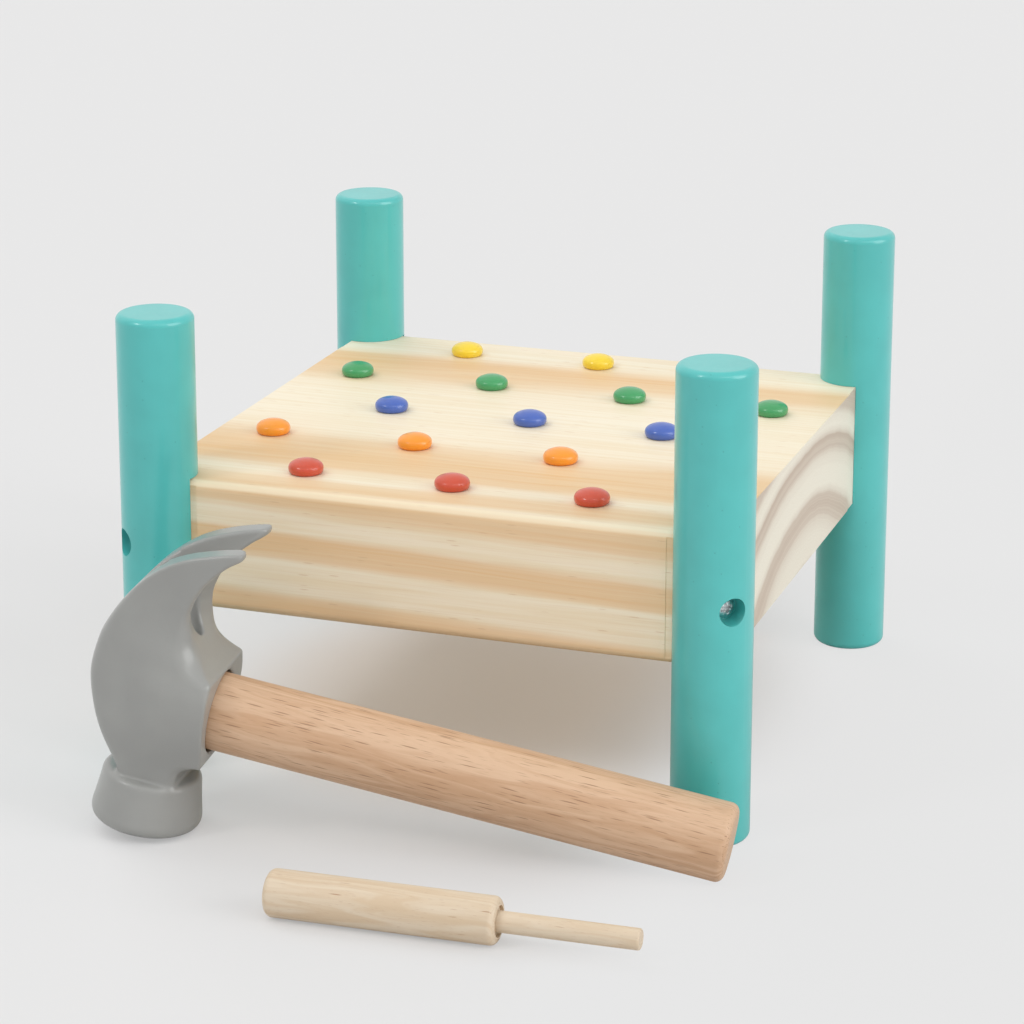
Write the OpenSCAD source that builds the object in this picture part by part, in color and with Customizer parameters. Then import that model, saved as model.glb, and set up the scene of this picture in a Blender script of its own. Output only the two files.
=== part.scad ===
// Peg pounding bench: a thick pine board on four round posts, with seventeen
// pegs driven into it, the claw hammer that drives them in and the punch that
// drives them out again. Z is up, X runs along the board's front face, and the
// origin is on the floor under the middle of the whole set.

/* [Board] */
// Length of the board along X
board_l = 214; // [200:1:240]
// Depth of the board along Y
board_w = 214; // [200:1:240]
// Thickness of the board
board_t = 48; // [40:1:55]
// Height of the board's underside above the floor
board_z = 62; // [45:1:80]
// Rounding of the board's long edges
board_edge_r = 3.5; // [1:0.5:6]
// Depth of the shallow step routed into the board beside each post
step_depth = 0.3; // [0.2:0.1:1]
// Length of that step past the post on the sawn end faces
end_step_l = 9.7; // [4:0.1:14]
// Length of that step past the post on the rounded long faces
side_step_l = 2.4; // [1:0.1:8]
// Leg of the flat cut across each board corner, inside its post
corner_flat = 5; // [3:0.5:5.5]

/* [Posts] */
// Diameter of the posts
post_d = 28; // [25:0.5:32]
// Length of the posts
post_h = 170; // [150:1:200]
// Rounding of the posts' ends
post_end_r = 2.6; // [1:0.2:4]
// Distance from the board's faces in to the axes of the posts
post_inset = 3.5; // [3:0.25:5]
// Gap round the board's corner in its pocket
pocket_gap = 0.1; // [0.05:0.05:0.2]

/* [Screws] */
// Diameter of the counterbore in each post
counterbore_d = 10; // [9:0.5:12]
// Depth of the counterbore below the post's surface
counterbore_depth = 7.5; // [6:0.5:9]
// Diameter of the screw's pan head
screw_head_d = 8.4; // [7:0.2:8.8]
// Height of the screw's pan head
screw_head_h = 3; // [2.4:0.2:4]
// Diameter of the screw's shank
screw_d = 4.5; // [3.5:0.5:6]
// Length of the screw under its head
screw_l = 50; // [40:1:60]
// Gap round the screw's shank in the wood
screw_gap = 0.1; // [0.05:0.05:0.2]
// Length across the cross recess in the screw's head
recess_d = 4.6; // [3.6:0.2:5.6]
// Depth of the cross recess
recess_depth = 1.5; // [1:0.1:2]

/* [Pegs] */
// Distance from the board's ends to the outer pegs of the rows of four
four_margin = 22; // [20:0.5:30]
// Distance from the board's ends to the outer pegs of the rows of three
three_margin = 53; // [46:0.5:58]
// Distance that the middle hole of a row of three sits off the middle
middle_shift = 2; // [0:0.5:3]
// Distance from the board's long faces to the outer rows of pegs
side_margin = 21.8; // [20:0.2:28]
// Diameter of a peg's lentil head
peg_head_d = 12.2; // [11:0.2:15]
// Thickness of a peg's head
peg_head_t = 5.3; // [4.6:0.1:7]
// Diameter of a peg's shank
peg_shank_d = 7.6; // [6.6:0.2:8]
// Length of a peg's shank
peg_shank_l = 42; // [30:1:44]
// Rounding of the tip of the shank
peg_tip_r = 2; // [1:0.5:3]
// Gap round the shank in its hole
peg_gap = 0.2; // [0.1:0.05:0.3]

/* [Hammer] */
// Diameter of the beech handle
handle_d = 27.2; // [24:0.2:28]
// Reach of the handle from the line of strike to its free end
handle_reach = 202; // [170:1:230]
// Rounding of the handle's free end
handle_end_r = 3; // [1:0.5:5]
// Depth of the handle's seat behind the line of strike
socket_depth = 11; // [8:1:12]
// Gap round the handle in its socket
socket_gap = 0.1; // [0.05:0.05:0.2]
// Extra width of the socket's mouth round the handle
mouth_gap = 0.9; // [0.5:0.1:1.1]
// Depth of the wide mouth of the socket
mouth_depth = 4; // [2:0.5:6]
// Distance from the handle's axis to the striking face
face_drop = 46; // [42:0.5:52]
// Diameter of the striking face
face_d = 39.6; // [36:0.2:44]
// Rounding of the striking face's rim
face_rim_r = 2.5; // [1.5:0.1:4]
// Length of the flared poll
poll_l = 20; // [17:0.5:22]
// Diameter of the poll where it leaves the neck
poll_top_d = 33; // [31:0.2:35]
// Width of the head across the collar round the handle
collar_w = 45; // [42:0.5:50]
// Reach of the collar from the line of strike along the handle
collar_reach = 20.5; // [18:0.5:24]
// Distance from the handle's axis to the underside of the collar
collar_drop = 16.6; // [16.2:0.1:18]
// Height of the claw tips above the handle's axis
claw_rise = 64; // [58:0.5:70]
// Reach of the claw tips from the line of strike
claw_reach = 24.5; // [22:0.5:27]
// Width across both claws
claw_w = 33; // [29:0.5:35]
// Width of the gap between the claw tips
claw_gap = 17; // [13:0.5:19]
// Width of the gap between the claws at its root
claw_root_gap = 1; // [0.6:0.1:2]
// Radius of the head's curved back
back_r = 55.2; // [53:0.2:58]
// Radius of the hollow under the claws
hollow_r = 25; // [23:0.5:27]
// Radius of the hollow between the collar and the poll
throat_r = 8; // [7:0.25:9]

/* [Punch] */
// Diameter of the punch's grip
grip_d = 16; // [14:0.5:20]
// Length of the grip
grip_l = 79; // [70:1:95]
// Rounding of the grip's ends
grip_end_r = 2.4; // [1:0.2:3]
// Diameter of the pin that pushes the pegs out
pin_d = 7.1; // [6:0.1:7.6]
// Length of the pin outside the grip
pin_l = 47; // [40:1:55]
// Depth of the pin's seat in the grip
pin_seat = 18; // [12:1:25]
// Rounding of the pin's tip
pin_tip_r = 0.8; // [0.4:0.1:1.5]
// Gap round the pin in the grip
pin_gap = 0.1; // [0.05:0.05:0.2]
// Diameter of the shallow recess round the pin
recess_ring_d = 10.4; // [9:0.2:11.5]
// Depth of that recess
recess_ring_depth = 1.2; // [0.6:0.1:2]

/* [Layout] */
// Distance from the fronts of the posts to the line of strike of the hammer
hammer_clear = 41.8; // [40:0.2:60]
// Distance from the left posts' axes to the line of strike, along X
hammer_shift = 26.4; // [20:0.2:40]
// Distance from the hammer to the middle of the punch
punch_clear = 52.4; // [44:0.2:70]
// Distance of the middle of the punch to the right of the bench's middle
punch_shift = 24; // [0:1:30]

/* [Hidden] */
$fn = 96;

// Rows of pegs from the rear to the front, with the number of pegs in each
peg_rows = [["yellow", 3], ["green", 4], ["blue", 3], ["orange", 4], ["red", 3]];
// Turn of the hammer and of the punch on the floor, in degrees
hammer_yaw = 6.3;
punch_yaw = 2.7;
// Overrun that carries every cut past the surface that it opens
cut = 1;

// Posts and board
post_r = post_d / 2;
post_x = board_l / 2 - post_inset;
post_y = board_w / 2 - post_inset;
board_top = board_z + board_t;
board_mid = board_z + board_t / 2;
// Distance from a post's axis out to the stepped faces of the board's corner
seat = post_inset - step_depth;
// Distance from a post's axis in to where those faces leave the post
pocket_reach = sqrt(pow(post_r, 2) - pow(seat, 2));

// Screws
screw_seat = post_r - counterbore_depth;
screw_crown_r = (pow(screw_head_d / 2, 2) + pow(screw_head_h, 2)) / (2 * screw_head_h);
recess_arm_share = 0.3;
tip_share = 1.4;

// Pegs
peg_hole_d = peg_shank_d + 2 * peg_gap;
rim_share = 0.36;
peg_rim_r = rim_share * peg_head_t;
rim_reach = peg_head_d / 2 - peg_rim_r;
crown_h = peg_head_t - peg_rim_r;
peg_crown_r = (pow(crown_h, 2) + pow(rim_reach, 2) - pow(peg_rim_r, 2)) / (2 * (crown_h - peg_rim_r));
crown_z = peg_head_t - peg_crown_r;
// Height at which the crown's arc meets the rim's arc
crown_meet_z = crown_z + peg_crown_r * (peg_rim_r - crown_z) / (peg_crown_r - peg_rim_r);

// Hammer: it stands on the rim of its striking face and on the end of its handle
face_in = face_drop - face_rim_r;
rim_in = face_d / 2 - face_rim_r;
reach_in = handle_reach - handle_end_r;
handle_in = handle_d / 2 - handle_end_r;
lean_rise = face_in - handle_in;
lean_run = reach_in - rim_in;
hammer_tilt = atan2(lean_rise, lean_run)
    + asin((face_rim_r - handle_end_r) / sqrt(pow(lean_rise, 2) + pow(lean_run, 2)));
hammer_x = hammer_shift - post_x;
hammer_y = -(post_y + post_r + hammer_clear);
hammer_z = face_in * cos(hammer_tilt) + rim_in * sin(hammer_tilt) + face_rim_r;
poll_z = poll_l - face_drop;
collar_top_share = 0.26;
// Centres of the arcs in the head's side view, along the handle and up
back_reach_share = 0.097;
back_rise_share = 0.995;
back_c = [claw_reach + back_reach_share * back_r, claw_rise - back_rise_share * back_r];
hollow_reach_share = 0.524;
hollow_rise_share = 0.85;
hollow_c = [collar_reach + hollow_reach_share * hollow_r, claw_rise * collar_top_share
    + hollow_rise_share * hollow_r];
// Half widths of the head in its end view as shares of the collar's half width,
// at heights as shares of the collar's drop and of the claws' rise
low_cheek_shares = [[0.49, -1.75], [0.5, -1.4], [0.6, -1], [0.8, -0.62], [0.93, -0.18]];
high_cheek_shares = [[0.99, 0.06], [1, 0.15], [0.94, 0.24], [0.8, 0.375]];
// Half widths of the claws as shares of their own half width, at heights as shares of their rise
claw_shares = [[0.86, 0.5], [0.85, 0.62], [0.92, 0.8], [1.02, 1.1]];
// Half widths in the plan view, at distances as shares of the collar's reach
plan_shares = [[-1.5, 0.5], [-0.9, 0.6], [0.3, 0.98], [1.5, 1.02]];
// Ends of the root line of the gap between the claws, along the handle and up
gap_back_shares = [-0.55, 0.63];
gap_front_shares = [0.36, 0.452];
gap_back = [gap_back_shares[0] * claw_reach, gap_back_shares[1] * claw_rise];
gap_front = [gap_front_shares[0] * claw_reach, gap_front_shares[1] * claw_rise];
gap_fall = atan2(gap_back[1] - gap_front[1], gap_front[0] - gap_back[0]);
gap_run = norm(gap_front - gap_back);
// Distance of the claw tips from the gap's root line
gap_h = (claw_reach - gap_back[0]) * sin(gap_fall) + (claw_rise - gap_back[1]) * cos(gap_fall);

// Punch
punch_x = punch_shift;
punch_y = hammer_y - punch_clear;

// Middle of the set's outline on the floor, from what reaches furthest each way
handle_out_x = hammer_x + reach_in * cos(hammer_tilt) * cos(hammer_yaw) + handle_end_r
    + handle_in * sqrt(1 - pow(cos(hammer_tilt) * cos(hammer_yaw), 2));
punch_out_x = punch_x + (grip_l / 2 + pin_l) * cos(punch_yaw) + pin_d / 2 * sin(punch_yaw);
grip_out_y = punch_y - (grip_l / 2 - grip_end_r) * sin(punch_yaw)
    - (grip_d / 2 - grip_end_r) * cos(punch_yaw) - grip_end_r;
set_right = max(post_x + post_r, handle_out_x, punch_out_x);
set_middle = [(set_right - post_x - post_r) / 2, (post_y + post_r + grip_out_y) / 2, 0];

function arc(centre, r, from, to, steps) =
    [for (i = [0 : steps]) let (a = from + (to - from) * i / steps)
        centre + r * [cos(a), sin(a)]];

// A smooth curve through a list of points, with n short runs between neighbours
function curve(pts, n) = concat([for (i = [0 : len(pts) - 2], k = [0 : n - 1])
    let (p0 = pts[max(i - 1, 0)], p1 = pts[i], p2 = pts[i + 1],
        p3 = pts[min(i + 2, len(pts) - 1)], t = k / n)
    (2 * p1 + (p2 - p0) * t + (2 * p0 - 5 * p1 + 4 * p2 - p3) * pow(t, 2)
        + (3 * p1 - p0 - 3 * p2 + p3) * pow(t, 3)) / 2], [pts[len(pts) - 1]]);

function peg_name(row, i) = str("peg_", peg_rows[row][0], "_", i + 1);

// Where a peg meets the board's top: the rows and the pegs in them are spread
// evenly between margins, but for the middle hole of a row of three
function peg_place(row, i) = let (last = peg_rows[row][1] - 1,
        run = board_l - 2 * (last > 2 ? four_margin : three_margin),
        shift = 2 * i == last ? middle_shift : 0)
    [(i / last - 1 / 2) * run + shift,
        (1 / 2 - row / (len(peg_rows) - 1)) * (board_w - 2 * side_margin), board_top];

// Puts a piece of the bench or of a tool where the whole set's middle is the origin
module in_set() {
    translate(-set_middle) children();
}

module four_corners() {
    for (left = [0, 1], front = [0, 1])
        mirror([left, 0, 0]) mirror([0, front, 0]) children();
}

// The screw's line: out of the post's axis across the board's corner
module screw_line() {
    translate([post_x, post_y, board_mid]) rotate([0, 90, 45]) children();
}

// Profile of a round bar that stands on its end, with both ends rounded
module rounded_bar(r, length, end_r) {
    rotate_extrude() {
        translate([0, end_r]) square([r, length - 2 * end_r]);
        square([r - end_r, length]);
        for (z = [end_r, length - end_r]) translate([r - end_r, z])
            intersection() {
                circle(end_r);
                translate([0, -end_r]) square([end_r, 2 * end_r]);
            }
    }
}

module board_profile() {
    edge = board_edge_r;
    translate([-board_w / 2, edge]) square([board_w, board_t - 2 * edge]);
    translate([edge - board_w / 2, 0]) square([board_w - 2 * edge, board_t]);
    for (y = [edge - board_w / 2, board_w / 2 - edge], z = [edge, board_t - edge])
        translate([y, z]) circle(edge);
}

// Plan of one quarter of the board, with its stepped and flattened corner
module board_quarter() {
    end_x = board_l / 2;
    side_y = board_w / 2;
    step_x = end_x - step_depth;
    step_y = side_y - step_depth;
    end_from = post_y - pocket_reach - end_step_l;
    side_from = post_x - pocket_reach - side_step_l;
    polygon([[0, 0], [end_x, 0], [end_x, end_from], [step_x, end_from],
        [step_x, step_y - corner_flat], [step_x - corner_flat, step_y],
        [side_from, step_y], [side_from, side_y], [0, side_y]]);
}

module board() {
    color("wheat") difference() {
        intersection() {
            translate([-board_l / 2, 0, board_z]) rotate([90, 0, 90])
                linear_extrude(board_l) board_profile();
            four_corners() translate([0, 0, board_z - cut])
                linear_extrude(board_t + 2 * cut) board_quarter();
        }
        for (row = [0 : len(peg_rows) - 1], i = [0 : peg_rows[row][1] - 1])
            translate(peg_place(row, i) - [0, 0, board_t + cut])
                cylinder(d = peg_hole_d, h = board_t + 2 * cut);
        four_corners() screw_line() translate([0, 0, screw_seat - screw_l - cut])
            cylinder(d = screw_d + 2 * screw_gap, h = screw_l + cut);
    }
}

// The board's corner as its pocket holds it, with the gap all round
module pocket() {
    face = seat + pocket_gap;
    flat = corner_flat + (2 - sqrt(2)) * pocket_gap;
    translate([0, 0, board_z - pocket_gap]) linear_extrude(board_t + 2 * pocket_gap)
        polygon([[-post_d, -post_d], [face, -post_d], [face, face - flat],
            [face - flat, face], [-post_d, face]]);
}

// A post in the rear right corner's place, which the others mirror
module post() {
    difference() {
        translate([post_x, post_y, 0]) difference() {
            rounded_bar(post_r, post_h, post_end_r);
            pocket();
        }
        screw_line() {
            cylinder(d = screw_d + 2 * screw_gap, h = post_r);
            translate([0, 0, screw_seat]) cylinder(d = counterbore_d, h = counterbore_depth + cut);
        }
    }
}

module post_at(left, front) {
    color("mediumturquoise") mirror([left, 0, 0]) mirror([0, front, 0]) post();
}

module cross_recess() {
    arm = recess_d * recess_arm_share;
    for (turn = [0, 90]) rotate(turn)
        translate([-recess_d / 2, -arm / 2, 0]) cube([recess_d, arm, recess_depth + cut]);
}

// One pan head screw, with the underside of its head at the origin
module screw() {
    tip_l = tip_share * screw_d;
    difference() {
        intersection() {
            cylinder(d = screw_head_d, h = screw_head_h);
            translate([0, 0, screw_head_h - screw_crown_r]) sphere(screw_crown_r);
        }
        translate([0, 0, screw_head_h - recess_depth]) cross_recess();
    }
    translate([0, 0, tip_l - screw_l]) cylinder(d = screw_d, h = screw_l - tip_l);
    translate([0, 0, -screw_l]) cylinder(d1 = 0, d2 = screw_d, h = tip_l);
}

module post_screws() {
    color("silver") four_corners() screw_line() translate([0, 0, screw_seat]) screw();
}

// Half of a peg's section: a lentil head of two arcs on a round shank
module peg_section() {
    intersection() {
        translate([0, crown_z]) circle(peg_crown_r);
        translate([0, crown_meet_z]) square([peg_head_d / 2, crown_h]);
    }
    translate([rim_reach, peg_rim_r]) circle(peg_rim_r);
    square([rim_reach, crown_meet_z]);
    translate([0, peg_tip_r - peg_shank_l])
        square([peg_shank_d / 2, peg_shank_l - peg_tip_r]);
    translate([0, -peg_shank_l]) square([peg_shank_d / 2 - peg_tip_r, peg_tip_r]);
    translate([peg_shank_d / 2 - peg_tip_r, peg_tip_r - peg_shank_l]) intersection() {
        circle(peg_tip_r);
        translate([0, -peg_tip_r]) square([peg_tip_r, peg_tip_r]);
    }
}

module peg(row, i) {
    color(["gold", "mediumseagreen", "royalblue", "orange", "tomato"][row])
        translate(peg_place(row, i)) rotate_extrude() peg_section();
}

// The hammer's own frame: X along the handle, Z up from the face to the claws
module hammer_frame() {
    translate([hammer_x, hammer_y, hammer_z]) rotate([0, hammer_tilt, hammer_yaw]) children();
}

// Side view of the head, from the neck up to the claw tips
module head_side() {
    difference() {
        intersection() {
            translate(back_c) circle(back_r);
            translate([-back_r, poll_z - cut]) square([back_r + claw_reach, back_r * 2]);
        }
        translate(hollow_c) circle(hollow_r);
        translate([collar_reach, poll_z - 2 * cut])
            square([back_r, hollow_c[1] - poll_z + 2 * cut]);
        translate([collar_reach, -collar_drop - throat_r]) circle(throat_r);
    }
}

// End view of the head: narrow neck, wide collar, then the claws
module head_end() {
    half = collar_w / 2;
    low = [for (s = low_cheek_shares) [s[0] * half, s[1] * collar_drop]];
    high = [for (s = high_cheek_shares) [s[0] * half, s[1] * claw_rise]];
    claws = [for (s = claw_shares) [s[0] * claw_w / 2, s[1] * claw_rise]];
    side = curve(concat(low, high, claws), 3);
    polygon(concat(side, [for (i = [len(side) - 1 : -1 : 0]) [-side[i][0], side[i][1]]]));
}

// Plan view of the head: a narrow back that widens to the collar
module head_plan() {
    side = [for (s = plan_shares) [s[0] * collar_reach, s[1] * collar_w / 2]];
    polygon(concat(side, [for (i = [len(side) - 1 : -1 : 0]) [side[i][0], -side[i][1]]]));
}

// The flared poll under the neck, as a turned piece
module poll() {
    wall_fall = atan2(poll_l, (face_d - poll_top_d) / 2);
    face_arc = arc([rim_in, face_rim_r], face_rim_r, -90, 90 - wall_fall, 8);
    top_r = face_rim_r / 2;
    top_arc = arc([poll_top_d / 2 - top_r, poll_l - top_r], top_r, 90 - wall_fall, 90, 6);
    translate([0, 0, -face_drop]) rotate_extrude()
        polygon(concat([[0, 0]], face_arc, top_arc, [[0, poll_l]]));
}

// Wedge between the claws, from its root line out past the tips
module claw_slot() {
    spread = (claw_gap - claw_root_gap) / (2 * gap_h);
    wide = claw_root_gap / 2 + spread * (gap_h + claw_w);
    translate([gap_back[0], 0, gap_back[1]]) rotate([0, gap_fall, 0])
        translate([-gap_run, 0, 0]) rotate([90, 0, 90]) linear_extrude(gap_run * 3)
            polygon([[-claw_root_gap / 2, 0], [claw_root_gap / 2, 0],
                [wide, gap_h + claw_w], [-wide, gap_h + claw_w]]);
}

module handle_socket() {
    rotate([0, 90, 0]) {
        translate([0, 0, -socket_depth])
            cylinder(d = handle_d + 2 * socket_gap, h = socket_depth + collar_reach + cut);
        translate([0, 0, collar_reach - mouth_depth])
            cylinder(d = handle_d + 2 * mouth_gap, h = mouth_depth + cut);
    }
}

module hammer_head() {
    color("darkgray") hammer_frame() {
        difference() {
            union() {
                intersection() {
                    translate([0, collar_w, 0]) rotate([90, 0, 0])
                        linear_extrude(2 * collar_w) head_side();
                    translate([-back_r, 0, 0]) rotate([90, 0, 90])
                        linear_extrude(2 * back_r) head_end();
                    translate([0, 0, -face_drop]) linear_extrude(face_drop + 2 * claw_rise)
                        head_plan();
                }
                poll();
            }
            claw_slot();
            handle_socket();
        }
    }
}

module hammer_handle() {
    bar_l = handle_reach + socket_depth;
    color("burlywood") hammer_frame() rotate([0, 90, 0]) translate([0, 0, -socket_depth])
        rounded_bar(handle_d / 2, bar_l, handle_end_r);
}

// The punch's own frame: Z along its length, from the grip to the pin's tip
module punch_frame() {
    translate([punch_x, punch_y, grip_d / 2]) rotate([0, 90, punch_yaw]) children();
}

module punch_grip() {
    color("bisque") punch_frame() difference() {
        translate([0, 0, -grip_l / 2]) rounded_bar(grip_d / 2, grip_l, grip_end_r);
        translate([0, 0, grip_l / 2 - pin_seat])
            cylinder(d = pin_d + 2 * pin_gap, h = pin_seat + cut);
        translate([0, 0, grip_l / 2 - recess_ring_depth])
            cylinder(d = recess_ring_d, h = recess_ring_depth + cut);
    }
}

module punch_pin() {
    color("moccasin") punch_frame() translate([0, 0, grip_l / 2 - pin_seat])
        rounded_bar(pin_d / 2, pin_seat + pin_l, pin_tip_r);
}

in_set() board();
in_set() post_at(1, 1);  // post_front_left
in_set() post_at(0, 1);  // post_front_right
in_set() post_at(1, 0);  // post_rear_left
in_set() post_at(0, 0);  // post_rear_right
in_set() post_screws();
for (row = [0 : len(peg_rows) - 1], i = [0 : peg_rows[row][1] - 1])
    in_set() peg(row, i);
in_set() hammer_head();
in_set() hammer_handle();
in_set() punch_grip();
in_set() punch_pin();
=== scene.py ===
"""Peg pounding bench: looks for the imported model, with its studio floor, lamps and camera."""
import math

import bpy
import numpy as np
from mathutils import Matrix, Vector


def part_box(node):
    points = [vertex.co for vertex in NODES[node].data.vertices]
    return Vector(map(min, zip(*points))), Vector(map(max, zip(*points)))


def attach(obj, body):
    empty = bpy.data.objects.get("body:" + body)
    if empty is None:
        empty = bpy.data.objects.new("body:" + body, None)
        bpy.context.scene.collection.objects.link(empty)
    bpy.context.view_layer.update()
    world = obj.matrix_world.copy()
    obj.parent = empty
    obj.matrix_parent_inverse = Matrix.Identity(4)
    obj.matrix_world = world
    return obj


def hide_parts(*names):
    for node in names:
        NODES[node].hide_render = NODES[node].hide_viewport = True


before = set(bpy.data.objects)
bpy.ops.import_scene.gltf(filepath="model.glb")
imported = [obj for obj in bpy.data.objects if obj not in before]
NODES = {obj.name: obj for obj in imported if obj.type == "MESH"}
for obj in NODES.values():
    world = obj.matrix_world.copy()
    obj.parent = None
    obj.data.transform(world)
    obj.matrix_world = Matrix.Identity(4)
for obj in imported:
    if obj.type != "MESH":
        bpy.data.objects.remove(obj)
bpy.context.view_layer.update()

# Lengths below are in millimetres, and the scene's own are in metres
MM, METRE = 0.001, 1000.0


def middle(node):
    """The middle of a CAD node's box."""
    low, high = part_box(node)
    return Vector([(a + b) / 2 for a, b in zip(low, high)])


# The bench's middle on the floor, from which the photograph's places are measured
BENCH = Vector((middle("board").x, middle("board").y, 0.0))
HALF_BOARD = (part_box("board")[1].x - BENCH.x) / MM

# The hammer's own frame has X along the handle and Z from the face to the claws, and the hammer
# lies with the face's rim and the handle's end on the floor
FACE_DROP, FACE_R, RIM_R = 46.0, 19.8, 2.5
HANDLE_R, HANDLE_REACH, END_R = 13.6, 202.0, 3.0
LEAN_RISE = FACE_DROP - RIM_R - HANDLE_R + END_R
LEAN_RUN = HANDLE_REACH - END_R - FACE_R + RIM_R
TILT = math.atan2(LEAN_RISE, LEAN_RUN) + math.asin((RIM_R - END_R) / math.hypot(LEAN_RISE, LEAN_RUN))
HAMMER_YAW = math.radians(6.3)
HAMMER_AT = Vector((-77.1, -159.3, 0.0))
HAMMER_AT.z = (FACE_DROP - RIM_R) * math.cos(TILT) + (FACE_R - RIM_R) * math.sin(TILT) + RIM_R
HAMMER = (Matrix.Translation(BENCH + HAMMER_AT * MM) @ Matrix.Rotation(HAMMER_YAW, 4, "Z")
          @ Matrix.Rotation(TILT, 4, "Y"))

# The punch's own frame has X along the pin
GRIP_R = 8.0
PUNCH_YAW = math.radians(2.7)
PUNCH_AT = Vector((24.0, -211.7, GRIP_R))
PUNCH = Matrix.Translation(BENCH + PUNCH_AT * MM) @ Matrix.Rotation(PUNCH_YAW, 4, "Z")

# The pine's figure: the share of dark late wood at each distance in mm from the pith, and at each
# height in mm on the long faces, which cut the rings nearly level
RING_LATE = ((26, .6), (29, .1), (36, .15), (40, .35), (43.5, .8), (50, 1), (52, .3), (54, .02),
             (60, .05), (64.5, .3), (67, .85), (71.5, 1), (73, .3), (75, .02), (78.5, .2), (80.5, .75),
             (84, 1), (88.5, .9), (90, .3), (92, .1), (94, .7), (97, .9), (98.5, .3), (100, .05),
             (102, .5), (105, .8))
FACE_LATE = ((60, .85), (67.2, .8), (69, .5), (70.5, .06), (81.5, .03), (83.2, .6), (85, .8), (91, .85),
             (92.6, .3), (93.5, .05), (99, .1), (100, .35), (101, .3), (102.2, .7), (105, .8), (112, .85))

# The hammer head from the side, as (x, z) places in its frame: down the back from the claws' tips,
# up the neck to the collar on the handle's side, and from there up the hollow under the claws
HEAD_BACK = ((24.4, 65.0), (20.5, 64.1), (14.0, 62.0), (5.0, 58.2), (-1.6, 54.0), (-7.6, 48.6),
             (-12.4, 42.9), (-16.6, 36.6), (-20.2, 29.8), (-23.3, 22.0), (-25.1, 11.0), (-24.4, 3.2),
             (-21.3, -5.8), (-17.7, -12.4), (-13.5, -19.2), (-10.2, -25.0), (-9.2, -30.0))
HEAD_NECK = ((11.8, -30.0), (11.5, -25.5), (12.3, -21.6), (14.6, -18.8), (17.6, -17.2), (20.5, -16.7))
HEAD_HOLLOW = ((20.5, 16.4), (17.8, 18.0), (15.2, 20.4), (12.8, 23.6), (10.4, 28.0), (8.6, 33.0),
               (8.0, 37.0), (8.5, 41.0), (10.0, 45.6), (12.4, 50.2), (15.8, 54.8), (19.8, 59.2),
               (24.6, 62.9))
# Half its width at each z from the end, and at each x from above
HEAD_HALF_AT_Z = ((-34, 13.2), (-27, 13.2), (-22, 13.6), (-16.6, 15.2), (-10.3, 17.9), (-3, 20.6),
                  (4, 22.3), (10, 22.7), (14, 20.8), (17, 19.3), (20, 18.7), (24, 17.4), (28, 15.9),
                  (32, 15.2), (38, 15.1), (46, 15.9), (54, 17.0), (60, 17.8), (70, 18.4))
HEAD_HALF_AT_X = ((-30, 10.5), (-24, 12), (-18, 14.4), (-8, 18.4), (4, 21.6), (14, 22.6), (30, 22.9))

# A peg's painted head, as (radius, height) places from its seat to its crown
PEG_HEAD = ((5.2, 0.0), (5.85, 0.3), (6.25, 1.0), (6.38, 1.9), (6.22, 2.8), (5.65, 3.6), (4.6, 4.3),
            (2.6, 5.0), (0.0, 5.3))

# The floor and the background have one tone as the camera sees them
PAPER_TONE = (0.80, 0.80, 0.80)

# Each lamp: the way towards it, its level on a surface that faces it, its width in degrees, and
# whether it shows in glossy surfaces, as the broad ones above, in front and behind don't
LAMPS = {"lamp_top": ((0.05, 0.30, 1.0), 0.053, 60, False),
         "lamp_front": ((0.05, -0.55, 1.0), 0.228, 50, False),
         "lamp_left": ((-0.66, -0.80, 0.92), 0.135, 12, True),
         "lamp_right_1": ((0.55, -0.84, 0.90), 0.03, 9, True),
         "lamp_right_2": ((0.80, -0.60, 0.90), 0.03, 9, True),
         "lamp_right_3": ((0.95, -0.32, 0.90), 0.03, 9, True),
         "lamp_side": ((1.0, -0.1, 0.40), 0.349, 40, True),
         "lamp_behind": ((-0.8, 0.5, 0.8), 0.359, 50, False)}
FILL_LEVEL = 0.367

# The camera, as fitted to the photograph: its uprights hardly converge, because its lens axis meets
# the picture above the middle
PHOTO_PX, FOCAL_PX, AXIS_RISE_PX = 1024, 3248.4, 200
SENSOR_MM = 36.0
CAMERA_AT = Vector((382.1, -1116.2, 458.8))
CAMERA_PITCH, CAMERA_YAW, CAMERA_ROLL = math.radians(14.512), math.radians(-19.134), math.radians(0.029)


class Value:
    """What a socket of a material gives, with arithmetic that adds math nodes to the material."""

    def __init__(self, shader, socket):
        self.shader, self.socket = shader, socket

    def __add__(self, other):
        return self.shader.math("ADD", self, other)

    def __sub__(self, other):
        return self.shader.math("SUBTRACT", self, other)

    def __rsub__(self, other):
        return self.shader.math("SUBTRACT", other, self)

    def __mul__(self, other):
        return self.shader.math("MULTIPLY", self, other)

    def __gt__(self, other):
        return self.shader.math("GREATER_THAN", self, other)

    def __abs__(self):
        return self.shader.math("ABSOLUTE", self)

    def root(self):
        return self.shader.math("SQRT", self)


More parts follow.
